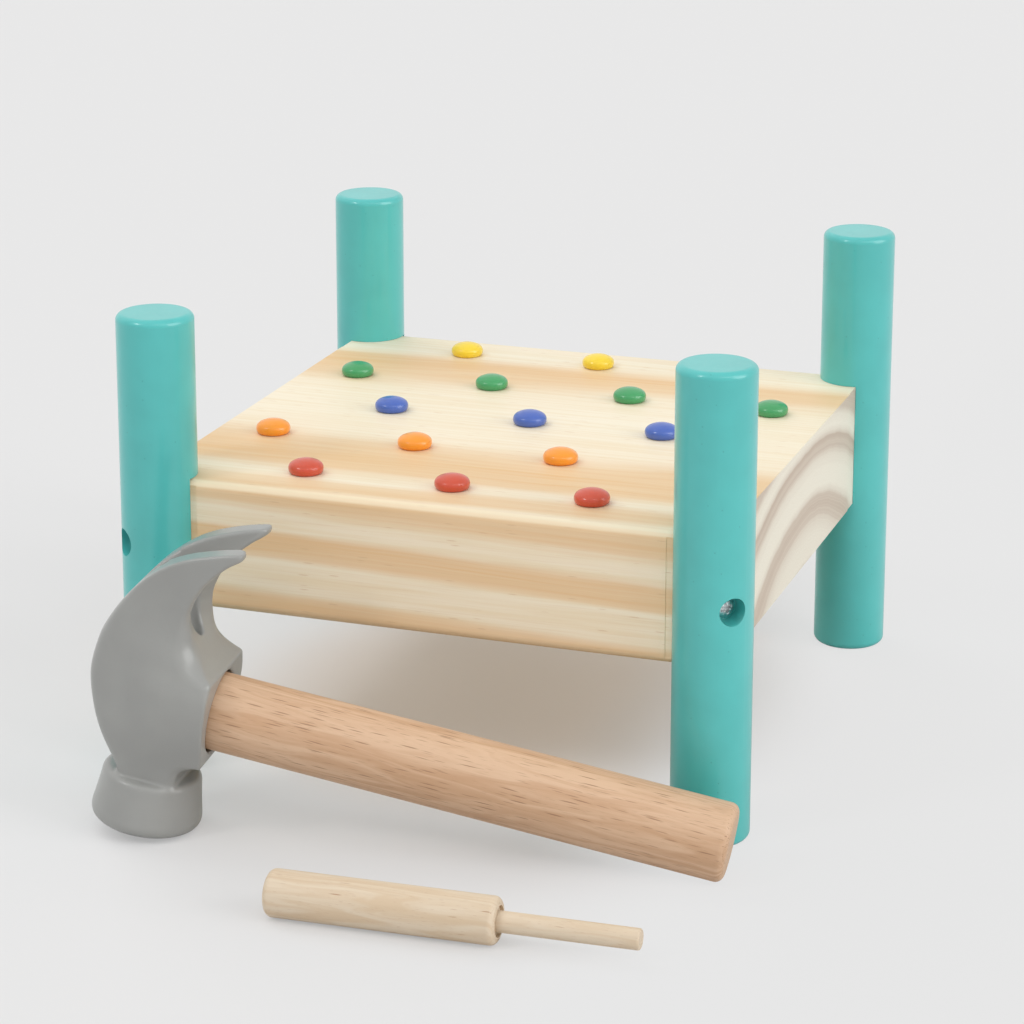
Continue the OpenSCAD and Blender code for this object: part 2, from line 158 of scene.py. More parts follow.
class Shader:
    """A material under construction, with short names for the nodes that it uses."""

    def __init__(self, name):
        self.mat = bpy.data.materials.new(name)
        self.mat.use_nodes = True
        self.tree = self.mat.node_tree
        self.tree.nodes.clear()
        self.out = self.tree.nodes.new("ShaderNodeOutputMaterial")
        coords = self.tree.nodes.new("ShaderNodeTexCoord")
        self.object = Value(self, coords.outputs["Object"])
        self.normal = Value(self, coords.outputs["Normal"])

    def put(self, socket, value):
        """Links a value to a socket, or sets the socket to a number, a vector or a colour."""
        if isinstance(value, Value):
            self.tree.links.new(value.socket, socket)
        elif socket.type == "RGBA":
            socket.default_value = (*value, 1.0)
        else:
            socket.default_value = value

    def math(self, op, a, b=0.0, clamp=False):
        node = self.tree.nodes.new("ShaderNodeMath")
        node.operation = op
        node.use_clamp = clamp
        self.put(node.inputs[0], a)
        self.put(node.inputs[1], b)
        return Value(self, node.outputs[0])

    def vector_math(self, op, a, b):
        node = self.tree.nodes.new("ShaderNodeVectorMath")
        node.operation = op
        self.put(node.inputs[0], a)
        self.put(node.inputs[1], b)
        return Value(self, node.outputs["Value" if op == "DOT_PRODUCT" else "Vector"])

    def stretch(self, vector, x, y, z):
        return self.vector_math("MULTIPLY", vector, (x, y, z))

    def own(self):
        """Coordinates in millimetres in the object's own frame."""
        return self.stretch(self.object, METRE, METRE, METRE)

    def place(self, at):
        """Coordinates in millimetres in the frame that the matrix at gives."""
        inverse = at.inverted()
        node = self.tree.nodes.new("ShaderNodeMapping")
        node.vector_type = "POINT"
        self.put(node.inputs["Vector"], self.object)
        self.put(node.inputs["Location"], inverse.to_translation() * METRE)
        self.put(node.inputs["Rotation"], inverse.to_euler())
        self.put(node.inputs["Scale"], (METRE, METRE, METRE))
        return Value(self, node.outputs[0])

    def axes(self, vector):
        """The vector's x, y and z."""
        node = self.tree.nodes.new("ShaderNodeSeparateXYZ")
        self.put(node.inputs[0], vector)
        return [Value(self, output) for output in node.outputs]

    def join(self, x, y, z):
        node = self.tree.nodes.new("ShaderNodeCombineXYZ")
        for socket, value in zip(node.inputs, (x, y, z)):
            self.put(socket, value)
        return Value(self, node.outputs[0])

    def noise(self, vector, scale=1.0, detail=3.0, rough=0.5):
        node = self.tree.nodes.new("ShaderNodeTexNoise")
        self.put(node.inputs["Vector"], vector)
        self.put(node.inputs["Scale"], scale)
        self.put(node.inputs["Detail"], detail)
        self.put(node.inputs["Roughness"], rough)
        return Value(self, node.outputs["Fac"])

    def spots(self, vector, share, full, gone, scale=1.0):
        """1 near the middle of a share of the vector's cells, and 0 from gone on and elsewhere."""
        node = self.tree.nodes.new("ShaderNodeTexVoronoi")
        self.put(node.inputs["Vector"], vector)
        self.put(node.inputs["Scale"], scale)
        distance = Value(self, node.outputs["Distance"])
        pick = self.axes(Value(self, node.outputs["Color"]))[0]
        return (1.0 - self.band(distance, full, gone)) * (pick > 1 - share)

    def ramp(self, along, low, high, stops):
        """Follows along, between low and high, through the (place, value) stops."""
        node = self.tree.nodes.new("ShaderNodeValToRGB")
        self.put(node.inputs[0], self.math("DIVIDE", along - low, high - low))
        ends = node.color_ramp.elements
        while len(ends) < len(stops):
            ends.new(1.0)
        for end, (place, value) in zip(ends, stops):
            end.position = (place - low) / (high - low)
        for end, (place, value) in zip(ends, stops):
            end.color = (value, value, value, 1.0)
        return Value(self, node.outputs[0])

    def band(self, value, low, high):
        """0 below low, 1 above high, smooth between."""
        node = self.tree.nodes.new("ShaderNodeMapRange")
        node.interpolation_type = "SMOOTHSTEP"
        self.put(node.inputs["Value"], value)
        self.put(node.inputs["From Min"], low)
        self.put(node.inputs["From Max"], high)
        return Value(self, node.outputs[0])

    def mix(self, part, a, b):
        """The colour a where part is 0, and b where it is 1."""
        node = self.tree.nodes.new("ShaderNodeMix")
        node.data_type = "RGBA"
        factor, first, second = node.inputs[0], node.inputs[6], node.inputs[7]
        self.put(factor, part)
        self.put(first, a)
        self.put(second, b)
        return Value(self, node.outputs[2])

    def bump(self, height, distance, strength):
        node = self.tree.nodes.new("ShaderNodeBump")
        self.put(node.inputs["Strength"], strength)
        self.put(node.inputs["Distance"], distance * MM)
        self.put(node.inputs["Height"], height)
        return Value(self, node.outputs[0])

    def surface(self, color, rough, normal, **sockets):
        """Ends the material with a principled surface, and gives the material."""
        node = self.tree.nodes.new("ShaderNodeBsdfPrincipled")
        self.put(node.inputs["Base Color"], color)
        self.put(node.inputs["Roughness"], rough)
        self.put(node.inputs["Normal"], normal)
        for name, value in sockets.items():
            self.put(node.inputs[name.replace("_", " ")], value)
        self.tree.links.new(node.outputs[0], self.out.inputs["Surface"])
        return self.mat


def tint(color, part):
    return tuple(min(1.0, c * part) for c in color)


def pine():
    """Plain sawn pine: wide growth rings round a pith below the board, fibres along X."""
    wood = Shader("pine")
    point = wood.place(Matrix.Translation(BENCH))
    x, y, z = wood.axes(point)
    wander = wood.noise(wood.stretch(point, 0.006, 0.022, 0.022), 1.0, 2.0) - 0.5
    ripple = wood.noise(wood.stretch(point, 0.02, 0.12, 0.12), 1.0, 3.0) - 0.5

    # the pith lies a little askew, and the rings are wider across the board than up through it
    across = (y - (x * 0.042 + 3.7)) * 0.589
    above = z - (x * -0.037 + 34.4)
    radius = (across * across + above * above).root() + x * -0.04 + wander * 5.0 + ripple * 1.3
    late = wood.ramp(radius, 24.0, 108.0, RING_LATE)
    normal_x, normal_y, normal_z = wood.axes(wood.normal)

    # the rear of the top shows hardly any late wood, and the long faces have a figure of their own
    rear_top = wood.band(y, 72.0, 84.0) * wood.band(normal_z, 0.5, 0.9)
    late = late * (1.0 - rear_top * 0.85)
    level = z + x * 0.025 + wander * 2.0 + ripple * 1.5
    long_face = wood.band(abs(normal_y), 0.6, 0.8)
    late = wood.mix(long_face, late, wood.ramp(level, 60.0, 112.0, FACE_LATE))

    # fine lines that follow the rings, fibres along the board, and short resin dashes
    lines = wood.noise(wood.join(radius * 1.3, x * 0.006, 0.0), 1.0, 3.0, 0.6)
    fibre = wood.noise(wood.stretch(point, 0.03, 2.2, 2.2), 1.0, 4.0, 0.6)
    streak = wood.noise(wood.stretch(point, 0.012, 0.4, 0.4), 1.0, 3.0, 0.55)
    dashes = wood.spots(wood.stretch(point, 0.09, 0.8, 0.8), 0.28, 0.10, 0.24)
    late = wood.math("MULTIPLY", late, lines * 0.9 + 0.45, clamp=True)
    pale, straw, brown = (0.90, 0.82, 0.655), (0.86, 0.75, 0.55), (0.765, 0.50, 0.25)
    fibre_brown, resin_brown = (0.70, 0.50, 0.30), (0.66, 0.45, 0.26)
    sides = wood.mix(late, wood.mix(wood.band(streak, 0.35, 0.7), pale, straw), brown)
    sides = wood.mix(wood.band(fibre, 0.5, 0.8) * 0.30, sides, fibre_brown)
    sides = wood.mix(dashes * 0.45, sides, resin_brown)
    # the long faces are painted a lighter, warmer copy of their colour, as painted light
    sides = wood.mix(long_face, sides, wood.stretch(sides, 1.08, 1.055, 1.03))

    # the sawn ends are greyer
    pores = wood.noise(wood.stretch(point, 0.3, 1.8, 1.8), 1.0, 3.0, 0.6)
    end_pale, end_straw, end_brown = (0.88, 0.83, 0.705), (0.81, 0.745, 0.615), (0.545, 0.425, 0.33)
    ends = wood.mix(late, wood.mix(wood.band(pores, 0.35, 0.75), end_pale, end_straw), end_brown)
    sawn = wood.band(abs(normal_x), 0.75, 0.95) * (abs(x) > HALF_BOARD - 1.0)
    color = wood.mix(sawn, sides, ends)

    # the upper long edges are sanded round, and a pale cream is painted on them as a highlight where they
    # face both up and out
    painted_edge_highlight = (0.96, 0.84, 0.62)
    edge = wood.band(abs(normal_y) * normal_z, 0.2, 0.45)
    color = wood.mix(edge * 0.6, color, painted_edge_highlight)
    normal = wood.bump(fibre * 0.5 + late * -0.35, 0.10, 0.6)
    return wood.surface(color, fibre * 0.16 + 0.40, normal, Specular_IOR_Level=0.5)


def paint(name, color, rough, coat, coat_rough, pits=0.35, grain=1.0):
    """Paint over turned wood: faint orange peel, pits, and the wood's grain showing through."""
    film = Shader(name)
    point = film.own()
    peel = film.noise(point, 0.55, 3.0, 0.55)
    lines = film.noise(film.stretch(point, 0.9, 0.9, 0.02), 1.0, 3.0, 0.6)
    cloud = film.noise(point, 0.06, 2.0)
    pit = film.spots(point, 0.14, 0.05, 0.16, 0.42)
    dark, light, deep = tint(color, 0.965), tint(color, 1.03), tint(color, 0.45)
    shade = film.mix(film.band(cloud, 0.3, 0.7), dark, light)
    shade = film.mix(film.band(lines, 0.52, 0.8) * (0.25 * grain), shade, dark)
    shade = film.mix(pit * pits, shade, deep)
    height = peel * 0.30 + lines * (0.35 * grain) - pit * (pits * 2)
    normal = film.bump(height, 0.06, 0.6 * grain)
    finish = peel * 0.12 + (rough - 0.06)
    return film.surface(shade, finish, normal, Coat_Weight=coat, Coat_Roughness=coat_rough)


def turned_wood(name, at, pale, deep, fleck, density, fleck_l, fleck_w):
    """Fine wood turned along the X of the frame at, with short flecks in three sizes."""
    wood = Shader(name)
    point = wood.place(at)
    x, y, z = wood.axes(point)
    wave = wood.noise(wood.stretch(point, 0.012, 0.10, 0.10), 1.0, 2.0) * 9.0
    lines = wood.noise(wood.join(x * 0.012, y * 0.55 + wave, z * 0.16), 1.0, 3.0, 0.55)
    fibre = wood.noise(wood.stretch(point, 0.10, 3.0, 3.0), 1.0, 3.0, 0.65)
    color = wood.mix(wood.band(lines, 0.36, 0.66), pale, deep)
    color = wood.mix(wood.band(fibre, 0.5, 0.85) * 0.30, color, tint(deep, 0.72))

    # rows of flecks are staggered along the piece
    slip = wood.noise(wood.join(0.0, y, z), 0.6, 2.0) * 24.0
    staggered = wood.join(x + slip, y, z)
    flecks = 0.0
    kinds = ((1.0, density, 0.75), (0.7, density, 0.5), (0.35, 0.5, 0.3))
    for turn, (size, share, level) in enumerate(kinds):
        shifted = wood.vector_math("ADD", staggered, (37.0 * turn, 11.0 * turn, 5.0 * turn))
        across = 1 / (fleck_w * size)
        cells = wood.stretch(shifted, 1 / (fleck_l * size), across, across)
        flecks = wood.math("MAXIMUM", flecks, wood.spots(cells, share, 0.10, 0.28) * level)
    color = wood.mix(flecks, color, fleck)

    # the ends show no flecks
    along = wood.vector_math("DOT_PRODUCT", wood.normal, at.inverted().to_3x3()[0])
    end = wood.band(abs(along), 0.80, 0.97)
    pores = wood.noise(point, 1.4, 3.0, 0.6)
    color = wood.mix(end, color, wood.mix(wood.band(pores, 0.35, 0.7), pale, tint(deep, 0.9)))
    normal = wood.bump(fibre * 0.5 - flecks * 0.8, 0.08, 0.7)
    return wood.surface(color, fibre * 0.18 + 0.40, normal, Specular_IOR_Level=0.4)


def grey_plastic():
    """Moulded satin plastic with a very fine skin."""
    plastic = Shader("grey_plastic")
    point = plastic.place(HAMMER)
    grit = plastic.noise(point, 2.2, 3.0, 0.6)
    cloud = plastic.noise(point, 0.05, 2.0)
    grey, pale_grey, dark_grey = (0.306, 0.308, 0.295), (0.328, 0.330, 0.315), (0.23, 0.23, 0.225)
    color = plastic.mix(plastic.band(cloud, 0.3, 0.7), grey, pale_grey)
    color = plastic.mix(plastic.band(grit, 0.55, 0.75) * 0.15, color, dark_grey)
    normal = plastic.bump(grit + plastic.noise(point, 0.25, 2.0) * 1.5, 0.05, 0.5)
    return plastic.surface(color, grit * 0.12 + 0.27, normal, Specular_IOR_Level=0.5,
                           Coat_Weight=0.35, Coat_Roughness=0.22)


def zinc():
    """Bright zinc plate, faintly clouded and uneven."""
    metal = Shader("zinc")
    point = metal.own()
    cloud = metal.noise(point, 1.6, 3.0, 0.6)
    color = metal.mix(metal.band(cloud, 0.3, 0.7), (0.60, 0.61, 0.62), (0.78, 0.79, 0.80))
    normal = metal.bump(metal.noise(point, 1.2, 2.0), 0.03, 0.4)
    return metal.surface(color, cloud * 0.25 + 0.18, normal, Metallic=1.0)


def dress(obj, material):
    """Gives the whole object one material."""
    if len(obj.material_slots) == 0:
        obj.data.materials.append(material)
    for item in obj.material_slots:
        item.material = material


def smax(a, b, k):
    """Maximum with a rounded crease, k wide: the edge of an intersection."""
    h = np.clip(0.5 + 0.5 * (a - b) / k, 0.0, 1.0)
    return b * (1 - h) + a * h + k * h * (1 - h)


def smin(a, b, k):
    """Minimum with a rounded crease, k wide: the seam of a union."""
    return -smax(-a, -b, k)


def ellipsoid(place, centre, reach):
    """Roughly the distance from an ellipsoid, and less than 0 inside it."""
    far = np.sqrt(sum(((v - c) / r) ** 2 for v, c, r in zip(place, centre, reach)))
    return min(reach) * (far - 1)


def curve(points, n):
    """A smooth curve through the points, with n short runs between neighbours."""
    p = np.array(points, float)
    p = np.vstack((p[0], p, p[-1]))
    t = np.linspace(0, 1, n, endpoint=False)[:, None]
    runs = []
    for i in range(1, len(p) - 2):
        a, b, c, d = p[i - 1:i + 3]
        runs.append((2 * b + (c - a) * t + (2 * a - 5 * b + 4 * c - d) * t ** 2
                     + (3 * b - a - 3 * c + d) * t ** 3) / 2)
    runs.append(p[-1:])
    return np.vstack(runs)


def bell(reach, pitch, width):
    """Weights of a blur, for samples that are pitch apart, reach of them to each side."""
    weights = np.exp(-0.5 * (np.arange(-reach, reach + 1) * pitch / width) ** 2)
    return weights / weights.sum()


class Outline:
    """Signed distance from a closed outline, held on a fine grid and read between its points."""

    def __init__(self, points, low, high, pitch, soften):
        self.low, self.pitch = np.array(low, float), pitch
        axes = [np.arange(low[i], high[i] + pitch, pitch) for i in range(2)]
        u, v = np.meshgrid(*axes, indexing="ij")
        best = np.full(u.shape, np.inf)
        inside = np.zeros(u.shape, bool)
        for (ax, ay), (bx, by) in zip(points, np.roll(points, -1, axis=0)):
            dx, dy = bx - ax, by - ay
            t = np.clip(((u - ax) * dx + (v - ay) * dy) / (dx * dx + dy * dy), 0, 1)
            best = np.minimum(best, np.hypot(u - ax - t * dx, v - ay - t * dy))
            if ay != by:
                crosses = (ay > v) != (by > v)
                inside ^= crosses & (u < dx * (v - ay) / dy + ax)
        field = np.where(inside, -best, best)
        reach = int(round(3 * soften / pitch))
        weights = bell(reach, pitch, soften)
        for axis in range(2):
            margin = [(reach, reach) if i == axis else (0, 0) for i in range(2)]
            padded = np.pad(field, margin, mode="edge")
            field = sum(weight * np.take(padded, range(i, i + field.shape[axis]), axis=axis)
                        for i, weight in enumerate(weights))
        self.field = field

    def __call__(self, x, y):
        u = np.clip((x - self.low[0]) / self.pitch, 0, self.field.shape[0] - 1.001)
        v = np.clip((y - self.low[1]) / self.pitch, 0, self.field.shape[1] - 1.001)
        i, j = u.astype(int), v.astype(int)
        a, b = u - i, v - j
        f = self.field
        return ((f[i, j] * (1 - a) + f[i + 1, j] * a) * (1 - b)
                + (f[i, j + 1] * (1 - a) + f[i + 1, j + 1] * a) * b)


def net(value, low, pitch):
    """Points and quads where a grid's values change sign, with one point to each crossed cell."""
    n = [size - 1 for size in value.shape]
    total = np.zeros((*n, 3))
    count = np.zeros(n)
    corners = [(i, j, k) for i in (0, 1) for j in (0, 1) for k in (0, 1)]

    def at(corner):
        i, j, k = corner
        return value[i:i + n[0], j:j + n[1], k:k + n[2]]

    for a in corners:
        for b in corners:
            step = [b[i] - a[i] for i in range(3)]
            if sorted(step) != [0, 0, 1]:
                continue
            va, vb = at(a), at(b)
            hit = (va < 0) != (vb < 0)
            t = np.where(hit, va / np.where(hit, va - vb, 1), 0)
            for i in range(3):
                total[..., i] += np.where(hit, a[i] + t * step[i], 0)
            count += hit
    used = count > 0
    number = np.full(n, -1)
    number[used] = np.arange(used.sum())
    points = (np.argwhere(used) + total[used] / count[used][:, None]) * pitch + np.array(low)

    # each grid edge that crosses the surface has a quad between the four cells round it
    quads = []
    for axis in range(3):
        u, v = (axis + 1) % 3, (axis + 2) % 3
        index = np.argwhere((value < 0) != (np.roll(value, -1, axis=axis) < 0))
        within = (index[:, axis] < n[axis]) & (index[:, u] > 0) & (index[:, v] > 0)
        within &= (index[:, u] < n[u]) & (index[:, v] < n[v])
        index = index[within]
        ring = []
        for du, dv in ((-1, -1), (0, -1), (0, 0), (-1, 0)):
            cell = index.copy()
            cell[:, u] += du
            cell[:, v] += dv
            ring.append(number[cell[:, 0], cell[:, 1], cell[:, 2]])
        ring = np.stack(ring, axis=1)
        outward = value[index[:, 0], index[:, 1], index[:, 2]] < 0
        ring[~outward] = ring[~outward][:, ::-1]
        quads.append(ring)
    return points, np.vstack(quads)


def skin(shape, low, high, pitch, rounds=3):
    """Points and quads on the zero surface of shape(x, y, z), evened out and drawn onto it."""
    axes = [np.arange(low[i], high[i] + pitch, pitch) for i in range(3)]
    points, quads = net(shape(*np.meshgrid(*axes, indexing="ij")), low, pitch)
    step = pitch * 0.25

    def slope(p):
        g = np.empty_like(p)
        for i in range(3):
            d = np.zeros(3)
            d[i] = step
            g[:, i] = (shape(*(p + d).T) - shape(*(p - d).T)) / (2 * step)
        return g

    edges = np.vstack([quads[:, [i, (i + 1) % 4]] for i in range(4)])
    for even_out in range(rounds):
        mean = np.zeros_like(points)
        weight = np.zeros(len(points))
        for here, there in ((0, 1), (1, 0)):
            np.add.at(mean, edges[:, here], points[edges[:, there]])
            np.add.at(weight, edges[:, here], 1)
        points = points * 0.5 + 0.5 * mean / weight[:, None]
        for draw_on in range(2):
            g = slope(points)
            move = shape(*points.T) / np.maximum((g ** 2).sum(axis=1), 0.1)
            points = points - np.clip(move, -pitch, pitch)[:, None] * g
    return points, quads


def carry(points, at):
    """Points in millimetres in the frame at, carried to metres in the part's frame."""
    return (np.c_[np.asarray(points, float) * MM, np.ones(len(points))] @ np.array(at).T)[:, :3]


def mesh_piece(name, points, faces, material):
    """A smooth mesh object from points in metres in the part's frame."""
    mesh = bpy.data.meshes.new(name)
    mesh.from_pydata(points.tolist(), [], faces)
    mesh.validate()
    mesh.polygons.foreach_set("use_smooth", [True] * len(mesh.polygons))
    mesh.materials.append(material)
    obj = bpy.data.objects.new(name, mesh)
    bpy.context.scene.collection.objects.link(obj)
    return obj


def head_shape():
    """The hammer head as a signed distance, from profiles, a turned poll, a claw gap and a socket."""
    outline = np.vstack((curve(HEAD_BACK, 6), curve(HEAD_NECK, 5), curve(HEAD_HOLLOW, 6)))
    pitch, crease = 0.25, 1.2
    side = Outline(outline, (-30, -36), (34, 72), pitch, 0.55)
    blur_reach, blur_width = 16, 1.8
    fine_z = np.arange(-34, 70, pitch)
    half_at_z = np.pad(np.interp(fine_z, *np.array(HEAD_HALF_AT_Z).T), blur_reach, mode="edge")
    half_at_z = np.convolve(half_at_z, bell(blur_reach, pitch, blur_width), mode="valid")
    lean_at_z = np.gradient(half_at_z, fine_z)
    x_at, half_at_x = np.array(HEAD_HALF_AT_X).T

    # the gap between the claws narrows from its mouth to a root that runs down through the head
    root_back, root_front = np.array([-13.6, 40.1]), np.array([7.5, 24.6])
    root_length = np.linalg.norm(root_front - root_back)
    run = (root_front - root_back) / root_length
    away = np.array([-run[1], run[0]])

    def body(x, w, z):
        # the front of the throat dips between the claws
        dip_deep, dip_half, rise_z, rise_run, fade_z, fade_run = 3.6, 12.5, 22.0, 10.0, 44.0, 14.0
        rise = np.clip((z - rise_z) / rise_run, 0, 1)
        fade = np.clip((z - fade_z) / fade_run, 0, 1)
        dip = dip_deep * np.clip(1 - w / dip_half, 0, 1) * rise * rise * (3 - 2 * rise)
        dip = dip * (1 - fade) * (x > -4)
        # a leaning side is nearer than the way straight across to it
        lean = np.interp(z, fine_z, lean_at_z)
        end = (w - np.interp(z, fine_z, half_at_z)) / np.sqrt(1 + lean ** 2)
        plan = (w - np.interp(x, x_at, half_at_x)) * 0.93
        # crisp at the collar's face and the claws, softly rounded at the back and under the claws
        soft_back = 1 / (1 + np.exp((x - 13.0) / 2.0)) / (1 + np.exp((z - 40.0) / 4.0))
        soft_throat = np.exp(-((z - 23.5) / 7.0) ** 2) / (1 + np.exp((6.0 - x) / 2.0))
        soft_throat = soft_throat / (1 + np.exp((x - 18.0) / 1.5))
        soft_corner = np.exp(-((z - 15.0) / 3.5) ** 2) * (x > 0)
        softness = crease + 3.0 * soft_back + 6.0 * soft_throat + 1.0 * soft_corner
        return smax(side(x + dip, z), smax(end, plan, 4.0), softness)

    def poll(x, y, z):
        neck_r, top_z, flare_out, flare_z, flare_run = 17.3, -26.8, 2.5, -27.2, 17
        flare = np.hypot(x, y) - neck_r - flare_out * np.clip((flare_z - z) / flare_run, 0, 1.2) ** 1.3
        return smax(smax(flare * 0.985, z - top_z, 2.6), -FACE_DROP - z, 5.0)

    def claw_gap(x, w, z):
        root_half, mouth_half, widens_over = 0.4, 12.8, 27
        d = (x - root_back[0]) * away[0] + (z - root_back[1]) * away[1]
        along = (x - root_back[0]) * run[0] + (z - root_back[1]) * run[1]
        gap = w - root_half - mouth_half * (1 - np.exp(-np.clip(d, 0, None) / widens_over))
        return smax(smax(gap, -d, crease), along - root_length, 3.0)

    def socket(x, y, z):
        mouth_r, mouth_x, bore_r, bore_x = 14.5, 16.5, 13.75, -11.2
        r = np.hypot(y, z)
        return np.minimum(smax(r - mouth_r, mouth_x - x, 0.3), smax(r - bore_r, bore_x - x, 0.3))

    def shape(x, y, z):
        w = np.abs(y)
        # a leaf-shaped hollow ends the claws' gap
        leaf = ellipsoid((x, y, z), (6.5, 0.0, 34.5), (5.5, 4.4, 10.0))
        f = smin(body(x, w, z), poll(x, y, z), crease)
        f = smax(smax(f, -claw_gap(x, w, z), crease), -leaf, 0.9)
        # the tips are rounded across each claw
        tip_z, tip_x, tip_w = 50, 25.0, 14.8
        f = smax(f, np.where(z > tip_z, x - tip_x + 0.14 * (w - tip_w) ** 2, -9.0), 1.5)
        return smax(f, -socket(x, y, z), crease)

    return shape


def build_head():
    """The hammer's moulded head, with softer creases than the solid has."""
    points, quads = skin(head_shape(), (-28.0, -25.0, -48.4), (27.4, 25.0, 67.3), 0.65)
    head = mesh_piece("hammer_head_moulded", carry(points, HAMMER), quads.tolist(), GREY)
    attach(head, "hammer")
    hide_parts("hammer_head")


def screw_mesh():
    """Points and faces of a pan head screw with a cross recess, along Z with its head's seat at 0."""
    head_r, head_h, length, shank_r = 4.2, 3.0, 50.0, 2.25
    arm_l, arm_half, arm_deep, arm_taper, wall_taper = 2.45, 0.55, 1.9, 0.55, 0.06
    tick_l, tick_half, tick_deep = 3.1, 0.14, 0.75
    centre_r, centre_deep = 1.0, 2.1

    def turned(x, y, turn):
        along = np.abs(x * math.cos(turn) + y * math.sin(turn))
        across = np.abs(-x * math.sin(turn) + y * math.cos(turn))
        return along, across

    def shape(x, y, z):
        r = np.hypot(x, y)
        crown_r = (head_r ** 2 + head_h ** 2) / (2 * head_h)
        crown = np.sqrt(x ** 2 + y ** 2 + (z - head_h + crown_r) ** 2) - crown_r
        f = smax(smax(r - head_r, -z, 0.5), crown, 0.9)
        depth = head_h - z
        for turn in (0.0, math.pi / 2):
            along, across = turned(x, y, turn)
            arm = np.maximum(along - (arm_l - arm_taper * depth), across - arm_half + wall_taper * depth)
            f = smax(f, -np.maximum(arm, depth - arm_deep), 0.18)
        for turn in (math.pi / 4, 3 * math.pi / 4):
            along, across = turned(x, y, turn)
            tick = np.maximum(np.maximum(along - tick_l, across - tick_half), depth - tick_deep)
            f = smax(f, -tick, 0.12)
        f = smax(f, -np.maximum(r - centre_r, depth - centre_deep), 0.2)
        neck = smax(smax(r - shank_r, z - 0.5, 0.3), -2.0 - z, 0.2)
        return smin(f, neck, 0.3)

    points, quads = skin(shape, (-4.6, -4.6, -2.4), (4.6, 4.6, 3.3), 0.13, 2)

    # the shank is a plain pointed rod, from inside the neck down
    sides, top_z, taper_l = 24, -1.2, 6.3
    angles = np.arange(sides) * math.tau / sides
    shank = [(shank_r * math.cos(a), shank_r * math.sin(a), z)
             for z in (top_z, taper_l - length) for a in angles]
    shank.append((0.0, 0.0, -length))
    first, faces = len(points), quads.tolist()
    for i in range(sides):
        j = (i + 1) % sides
        faces.append([first + j, first + i, first + sides + i, first + sides + j])
        faces.append([first + sides + j, first + sides + i, first + 2 * sides])
    faces.append([first + i for i in range(sides)])
    return np.vstack((points, shank)), faces


def build_screws():
    """Four screws, each in a post's counterbore on the board's diagonal, and each turned its own way."""
    seat_out, first_turn, next_turn = 6.5, 0.5, 1.4
    posts = ("post_front_left", "post_front_right", "post_rear_left", "post_rear_right")
    screw, faces = screw_mesh()
    all_points, all_faces = [], []
    for number, name in enumerate(posts):
        centre = middle(name)
        centre.z = middle("board").z
        outward = centre - BENCH
        out = Vector((math.copysign(1, outward.x), math.copysign(1, outward.y), 0)).normalized()
        spin = Matrix.Rotation(first_turn + next_turn * number, 4, "Z")
        seat = Matrix.Translation(centre + out * seat_out * MM)
        at = seat @ out.to_track_quat("Z", "Y").to_matrix().to_4x4() @ spin
        all_points.append(carry(screw, at))
        all_faces += [[vertex + number * len(screw) for vertex in face] for face in faces]
    obj = mesh_piece("post_screws_plated", np.vstack(all_points), all_faces, ZINC)
    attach(obj, "bench")
    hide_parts("post_screws")


def lathe(profile, sides=56):
    """Points and faces of a solid turned round Z, from (radius, height) places that start and end on Z."""
    angle = np.arange(sides) * math.tau / sides
    rings = [np.c_[r * np.cos(angle), r * np.sin(angle), np.full(sides, z)] for r, z in profile[1:-1]]
    points = np.vstack([[(0.0, 0.0, profile[0][1])], *rings, [(0.0, 0.0, profile[-1][1])]])
    last = 1 + (len(rings) - 1) * sides
    faces = []
    for i in range(sides):
        j = (i + 1) % sides
        faces.append([0, 1 + j, 1 + i])
        for k in range(len(rings) - 1):
            a, b = 1 + k * sides, 1 + (k + 1) * sides
            faces.append([a + i, a + j, b + j, b + i])
        faces.append([last + i, last + j, len(points) - 1])
    return points, faces


def build_peg(name):
    """A turned peg: a full, round-shouldered head on its shank, seated on the board's top."""
    head_h, shank_r, tip_r = PEG_HEAD[-1][1], 3.8, 2.0
    low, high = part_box(name)
    seat = Vector((middle(name).x, middle(name).y, high.z - head_h * MM))
    tip = (low.z - seat.z) / MM
    shank = [(0.0, tip), (shank_r - tip_r, tip), (shank_r - 0.3 * tip_r, tip + 0.3 * tip_r),
             (shank_r, tip + tip_r), (shank_r, 0.0)]
    color = name.split("_")[1]
    points, faces = lathe(shank + curve(PEG_HEAD, 4).tolist())
    obj = mesh_piece(name + "_turned", carry(points, Matrix.Translation(seat)), faces, PEGS[color])
    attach(obj, name.removeprefix("peg_"))
    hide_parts(name)


def floor_paper():
    """Matt white paper with a glow that only the camera sees: painted light that makes its shadows paler
    than the lamps leave them, warm painted bounce light from the wood under the bench, paler round it and
    palest at its right."""
    floor = Shader("floor_paper")
    nodes = floor.tree.nodes
    paper = nodes.new("ShaderNodeBsdfDiffuse")
    floor.put(paper.inputs["Color"], (0.725, 0.722, 0.722))

    # how far from under the bench a place is, and how far to its right
    x, y, z = floor.axes(floor.place(Matrix.Translation(BENCH)))
    clear = floor.band((x * x + y * y).root(), 60.0, 130.0)
    share = clear * 0.25 + floor.band(x, 40.0, 110.0) * 0.45 + 0.20
    plain = floor.math("MAXIMUM", clear, floor.band(x, 20.0, 80.0))
    # the glow is painted light: a warm painted bounce under the bench, and the paper's own tone round it
    painted_glow = nodes.new("ShaderNodeEmission")
    floor.put(painted_glow.inputs["Color"], floor.mix(plain, (0.84, 0.64, 0.49), PAPER_TONE))
    seen = Value(floor, nodes.new("ShaderNodeLightPath").outputs["Is Camera Ray"])
    both = nodes.new("ShaderNodeMixShader")
    floor.put(both.inputs[0], seen * share)
    floor.tree.links.new(paper.outputs[0], both.inputs[1])
    floor.tree.links.new(painted_glow.outputs[0], both.inputs[2])
    floor.tree.links.new(both.outputs[0], floor.out.inputs["Surface"])
    return floor.mat


